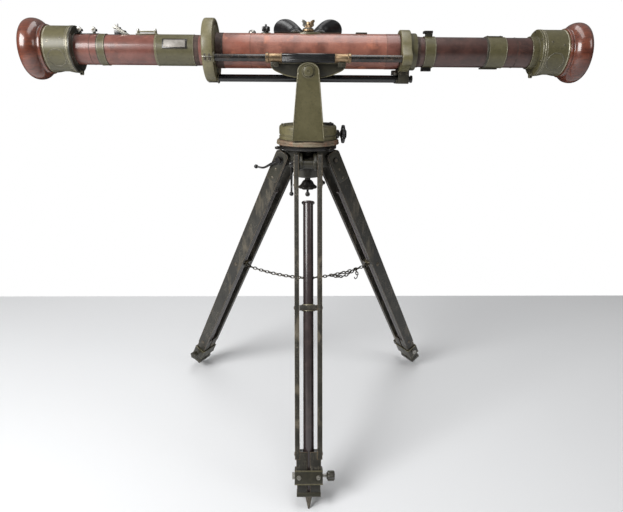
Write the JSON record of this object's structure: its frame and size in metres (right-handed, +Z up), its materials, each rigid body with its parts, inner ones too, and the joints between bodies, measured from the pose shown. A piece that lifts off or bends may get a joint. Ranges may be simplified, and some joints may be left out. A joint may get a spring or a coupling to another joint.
{
  "type": "optical base rangefinder on tripod",
  "caption": "Long-tube optical rangefinder with binocular eyepieces in a canting cradle on a folding wooden tripod.",
  "frame": {"origin": "on the floor under the middle of the object's box; the tripod's turning axis stands 95 mm behind it", "axes": "+X along the tube towards its right end as seen facing the windows, +Z up, -Y towards the target"},
  "size_m": [1.462, 0.7439, 1.1626],
  "materials": {
    "olive_paint": "worn semi-gloss olive paint",
    "dark_olive_paint": "dark olive paint",
    "red_brown_enamel": "worn mottled red-brown enamel",
    "varnished_wood": "glossy varnish",
    "black_enamel": "black enamel",
    "black_rubber": "smooth moulded rubber",
    "brass": "worn",
    "steel": "worn",
    "painted_wood": "scuffed dark olive paint",
    "glass": "clear"
  },
  "bodies": {
    "head": {"tripod_head": "dark_olive_paint", "head_plate": "black_enamel"},
    "hand_wheel": {"hand_wheel": "black_enamel"},
    "leg_front": {"leg_front_rail_a": "painted_wood", "leg_front_rail_b": "painted_wood", "leg_front_spreader": "olive_paint", "leg_front_collar": "olive_paint"},
    "foot_front": {"leg_front_pole": "black_enamel", "leg_front_spike": "steel"},
    "clamp_knob_front": {"leg_front_knob": "dark_olive_paint"},
    "lever_front": {"leg_front_lever": "black_enamel"},
    "chain_front": {"chain_front": "steel"},
    "leg_right": {"leg_right_rail_a": "painted_wood", "leg_right_rail_b": "painted_wood", "leg_right_spreader": "olive_paint", "leg_right_collar": "olive_paint"},
    "foot_right": {"leg_right_pole": "black_enamel", "leg_right_spike": "steel"},
    "clamp_knob_right": {"leg_right_knob": "dark_olive_paint"},
    "lever_right": {"leg_right_lever": "black_enamel"},
    "chain_right": {"chain_right": "steel"},
    "leg_left": {"leg_left_rail_a": "painted_wood", "leg_left_rail_b": "painted_wood", "leg_left_spreader": "olive_paint", "leg_left_collar": "olive_paint"},
    "foot_left": {"leg_left_pole": "black_enamel", "leg_left_spike": "steel"},
    "clamp_knob_left": {"leg_left_knob": "dark_olive_paint"},
    "lever_left": {"leg_left_lever": "black_enamel"},
    "chain_left": {"chain_left": "steel"},
    "turntable": {"turntable_plate": "steel", "fork": "olive_paint"},
    "azimuth_clamp": {"azimuth_clamp": "black_enamel"},
    "cradle": {"saddle": "olive_paint", "front_rod": "black_enamel", "grip_block": "black_enamel", "lower_rod": "black_enamel", "left_ring": "olive_paint", "right_ring": "olive_paint"},
    "instrument": {"tube_left": "red_brown_enamel", "tube_centre": "red_brown_enamel", "tube_right": "red_brown_enamel", "housing_left": "olive_paint", "housing_right": "olive_paint", "bumper_left": "varnished_wood", "bumper_right": "varnished_wood", "prism_left": "glass", "prism_right": "glass", "eyepiece_block": "olive_paint", "eyecup_left": "black_rubber", "eyecup_right": "black_rubber", "open_sight": "steel"},
    "shutter_left": {"shutter_left": "olive_paint"},
    "shutter_right": {"shutter_right": "olive_paint"},
    "focus_ring_left": {"focus_ring_left": "black_enamel"},
    "focus_ring_right": {"focus_ring_right": "black_enamel"},
    "range_knob": {"range_knob": "black_enamel"},
    "halving_knob": {"halving_knob": "black_enamel"},
    "setting_knob": {"setting_knob": "brass"}
  },
  "joints": [
    {"name": "hand_wheel_turn", "type": "hinge", "parent": "head", "child": "hand_wheel", "pos_m": [0, 0.095, 0.72], "axis": [0, 0, 1], "range_deg": [0, 720]},
    {"name": "fold_front", "type": "hinge", "parent": "head", "child": "leg_front", "pos_m": [0, 0.025, 0.788], "axis": [1, 0, 0], "range_deg": [0, 24]},
    {"name": "extend_front", "type": "slide", "parent": "leg_front", "child": "foot_front", "axis": [0, -0.4481, -0.894], "range_m": [0, 0.3]},
    {"name": "clamp_front", "type": "hinge", "parent": "leg_front", "child": "clamp_knob_front", "pos_m": [0.05, -0.33505, 0.06973], "axis": [1, 0, 0], "range_deg": [-270, 0]},
    {"name": "lever_front", "type": "hinge", "parent": "leg_front", "child": "lever_front", "pos_m": [0, 0.025, 0.788], "axis": [1, 0, 0], "range_deg": [-30, 30]},
    {"name": "chain_front_swing", "type": "hinge", "parent": "leg_front", "child": "chain_front", "pos_m": [0, -0.12429, 0.42993], "axis": [1, 0, 0], "range_deg": [-112, 0]},
    {"name": "fold_right", "type": "hinge", "parent": "head", "child": "leg_right", "pos_m": [0.06062, 0.13, 0.788], "axis": [-0.5, 0.866, 0], "range_deg": [0, 24]},
    {"name": "extend_right", "type": "slide", "parent": "leg_right", "child": "foot_right", "axis": [0.3881, 0.2241, -0.894], "range_m": [0, 0.3]},
    {"name": "clamp_right", "type": "hinge", "parent": "leg_right", "child": "clamp_knob_right", "pos_m": [0.34743, 0.35333, 0.06973], "axis": [-0.5, 0.866, 0], "range_deg": [-270, 0]},
    {"name": "lever_right", "type": "hinge", "parent": "leg_right", "child": "lever_right", "pos_m": [0.06062, 0.13, 0.788], "axis": [-0.5, 0.866, 0], "range_deg": [-30, 30]},
    {"name": "chain_right_swing", "type": "hinge", "parent": "leg_right", "child": "chain_right", "pos_m": [0.18991, 0.20464, 0.42993], "axis": [-0.5, 0.866, 0], "range_deg": [-112, 0]},
    {"name": "fold_left", "type": "hinge", "parent": "head", "child": "leg_left", "pos_m": [-0.06062, 0.13, 0.788], "axis": [-0.5, -0.866, 0], "range_deg": [0, 24]},
    {"name": "extend_left", "type": "slide", "parent": "leg_left", "child": "foot_left", "axis": [-0.3881, 0.2241, -0.894], "range_m": [0, 0.3]},
    {"name": "clamp_left", "type": "hinge", "parent": "leg_left", "child": "clamp_knob_left", "pos_m": [-0.39743, 0.26672, 0.06973], "axis": [-0.5, -0.866, 0], "range_deg": [-270, 0]},
    {"name": "lever_left", "type": "hinge", "parent": "leg_left", "child": "lever_left", "pos_m": [-0.06062, 0.13, 0.788], "axis": [-0.5, -0.866, 0], "range_deg": [-30, 30]},
    {"name": "chain_left_swing", "type": "hinge", "parent": "leg_left", "child": "chain_left", "pos_m": [-0.18991, 0.20464, 0.42993], "axis": [-0.5, -0.866, 0], "range_deg": [-112, 0]},
    {"name": "azimuth", "type": "hinge", "parent": "head", "child": "turntable", "pos_m": [0, 0.095, 0.84], "axis": [0, 0, 1], "continuous": true},
    {"name": "azimuth_clamp_turn", "type": "hinge", "parent": "turntable", "child": "azimuth_clamp", "pos_m": [0.09, 0.095, 0.861], "axis": [1, 0, 0], "range_deg": [-270, 0]},
    {"name": "cant", "type": "hinge", "parent": "turntable", "child": "cradle", "pos_m": [0, 0.095, 1.024], "axis": [0, 1, 0], "range_deg": [-12, 12]},
    {"name": "elevation", "type": "hinge", "parent": "cradle", "child": "instrument", "pos_m": [0, 0.095, 1.075], "axis": [-1, 0, 0], "range_deg": [-20, 35]},
    {"name": "shutter_left_turn", "type": "hinge", "parent": "instrument", "child": "shutter_left", "pos_m": [-0.641, 0.095, 1.075], "axis": [-1, 0, 0], "range_deg": [0, 90]},
    {"name": "shutter_right_turn", "type": "hinge", "parent": "instrument", "child": "shutter_right", "pos_m": [0.641, 0.095, 1.075], "axis": [-1, 0, 0], "range_deg": [0, 90]},
    {"name": "focus_left", "type": "hinge", "parent": "instrument", "child": "focus_ring_left", "pos_m": [-0.033, 0.15979, 1.11626], "axis": [0, 0.8988, 0.4384], "range_deg": [-120, 120]},
    {"name": "focus_right", "type": "hinge", "parent": "instrument", "child": "focus_ring_right", "pos_m": [0.033, 0.15979, 1.11626], "axis": [0, 0.8988, 0.4384], "range_deg": [-120, 120]},
    {"name": "range_turn", "type": "hinge", "parent": "instrument", "child": "range_knob", "pos_m": [0.14, 0.15, 1.075], "axis": [0, 1, 0], "range_deg": [-340, 340]},
    {"name": "halving_turn", "type": "hinge", "parent": "instrument", "child": "halving_knob", "pos_m": [-0.1105, 0.095, 1.13], "axis": [0, 0, 1], "range_deg": [-170, 170]},
    {"name": "setting_turn", "type": "hinge", "parent": "instrument", "child": "setting_knob", "pos_m": [0, 0.095, 1.135], "axis": [0, 0, 1], "range_deg": [-90, 90]}
  ],
  "couplings": [
    {"joint": "chain_front_swing", "follows": "fold_front", "ratio": -4.6},
    {"joint": "chain_right_swing", "follows": "fold_right", "ratio": -4.6},
    {"joint": "chain_left_swing", "follows": "fold_left", "ratio": -4.6}
  ]
}
